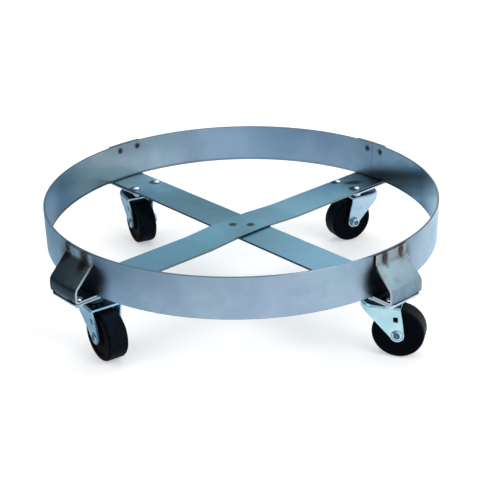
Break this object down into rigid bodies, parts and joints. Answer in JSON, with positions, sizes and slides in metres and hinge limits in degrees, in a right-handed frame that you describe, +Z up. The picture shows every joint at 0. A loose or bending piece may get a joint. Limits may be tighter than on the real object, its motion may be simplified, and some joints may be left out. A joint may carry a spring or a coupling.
{
  "type": "drum dolly",
  "caption": "Low round dolly for a steel drum: a rolled steel band on crossed flat bars with turned-up end straps, carried on swivel plate casters with hard rubber wheels.",
  "frame": {"origin": "floor level under the centre of the round band", "axes": "+Z up along the band's axis; the crossed bars lie at 45 degrees between +X and +Y"},
  "size_m": [0.616, 0.616, 0.1683],
  "materials": {
    "band_steel": "satin zinc-plated rolled strip, blue-grey, with heat marks at the welds",
    "bar_steel": "satin zinc-plated flat bar",
    "caster_zinc": "bright zinc-plated pressed steel",
    "fastener_zinc": "bright zinc-plated fasteners",
    "ball_steel": "polished bearing balls",
    "bearing_bronze": "sintered bearing bush",
    "wheel_rubber": "black moulded hard rubber, semi-gloss"
  },
  "bodies": {
    "frame": {"ring_band": "band_steel", "crossbar_lower": "bar_steel", "crossbar_upper": "bar_steel", "front_right_top_plate": "caster_zinc", "front_right_plate_bolts": "fastener_zinc", "front_right_plate_nuts": "fastener_zinc", "front_right_kingpin": "fastener_zinc", "front_right_lower_race": "caster_zinc", "back_right_top_plate": "caster_zinc", "back_right_plate_bolts": "fastener_zinc", "back_right_plate_nuts": "fastener_zinc", "back_right_kingpin": "fastener_zinc", "back_right_lower_race": "caster_zinc", "back_left_top_plate": "caster_zinc", "back_left_plate_bolts": "fastener_zinc", "back_left_plate_nuts": "fastener_zinc", "back_left_kingpin": "fastener_zinc", "back_left_lower_race": "caster_zinc", "front_left_top_plate": "caster_zinc", "front_left_plate_bolts": "fastener_zinc", "front_left_plate_nuts": "fastener_zinc", "front_left_kingpin": "fastener_zinc", "front_left_lower_race": "caster_zinc"},
    "front_right_swivel": {"front_right_fork": "caster_zinc", "front_right_upper_balls": "ball_steel", "front_right_lower_balls": "ball_steel", "front_right_axle_bolt": "fastener_zinc", "front_right_axle_nut": "fastener_zinc", "front_right_axle_sleeve": "fastener_zinc"},
    "front_right_rolling": {"front_right_wheel": "wheel_rubber", "front_right_wheel_liner": "bearing_bronze"},
    "back_right_swivel": {"back_right_fork": "caster_zinc", "back_right_upper_balls": "ball_steel", "back_right_lower_balls": "ball_steel", "back_right_axle_bolt": "fastener_zinc", "back_right_axle_nut": "fastener_zinc", "back_right_axle_sleeve": "fastener_zinc"},
    "back_right_rolling": {"back_right_wheel": "wheel_rubber", "back_right_wheel_liner": "bearing_bronze"},
    "back_left_swivel": {"back_left_fork": "caster_zinc", "back_left_upper_balls": "ball_steel", "back_left_lower_balls": "ball_steel", "back_left_axle_bolt": "fastener_zinc", "back_left_axle_nut": "fastener_zinc", "back_left_axle_sleeve": "fastener_zinc"},
    "back_left_rolling": {"back_left_wheel": "wheel_rubber", "back_left_wheel_liner": "bearing_bronze"},
    "front_left_swivel": {"front_left_fork": "caster_zinc", "front_left_upper_balls": "ball_steel", "front_left_lower_balls": "ball_steel", "front_left_axle_bolt": "fastener_zinc", "front_left_axle_nut": "fastener_zinc", "front_left_axle_sleeve": "fastener_zinc"},
    "front_left_rolling": {"front_left_wheel": "wheel_rubber", "front_left_wheel_liner": "bearing_bronze"}
  },
  "joints": [
    {"name": "front_right_swivel", "type": "hinge", "parent": "frame", "child": "front_right_swivel", "pos_m": [0.20435, -0.20435, 0.09035], "axis": [0, 0, 1], "continuous": true},
    {"name": "front_right_wheel_spin", "type": "hinge", "parent": "front_right_swivel", "child": "front_right_rolling", "pos_m": [0.2354, -0.2121, 0.0381], "axis": [-0.2419, -0.9703, 0], "continuous": true},
    {"name": "back_right_swivel", "type": "hinge", "parent": "frame", "child": "back_right_swivel", "pos_m": [0.20435, 0.20435, 0.09035], "axis": [0, 0, 1], "continuous": true},
    {"name": "back_right_wheel_spin", "type": "hinge", "parent": "back_right_swivel", "child": "back_right_rolling", "pos_m": [0.17692, 0.18787, 0.0381], "axis": [-0.515, 0.8572, 0], "continuous": true},
    {"name": "back_left_swivel", "type": "hinge", "parent": "frame", "child": "back_left_swivel", "pos_m": [-0.20435, 0.20435, 0.09035], "axis": [0, 0, 1], "continuous": true},
    {"name": "back_left_wheel_spin", "type": "hinge", "parent": "back_left_swivel", "child": "back_left_rolling", "pos_m": [-0.18933, 0.1761, 0.0381], "axis": [-0.8829, -0.4695, 0], "continuous": true},
    {"name": "front_left_swivel", "type": "hinge", "parent": "frame", "child": "front_left_swivel", "pos_m": [-0.20435, -0.20435, 0.09035], "axis": [0, 0, 1], "continuous": true},
    {"name": "front_left_wheel_spin", "type": "hinge", "parent": "front_left_swivel", "child": "front_left_rolling", "pos_m": [-0.1851, -0.22991, 0.0381], "axis": [-0.7986, -0.6018, 0], "continuous": true}
  ]
}
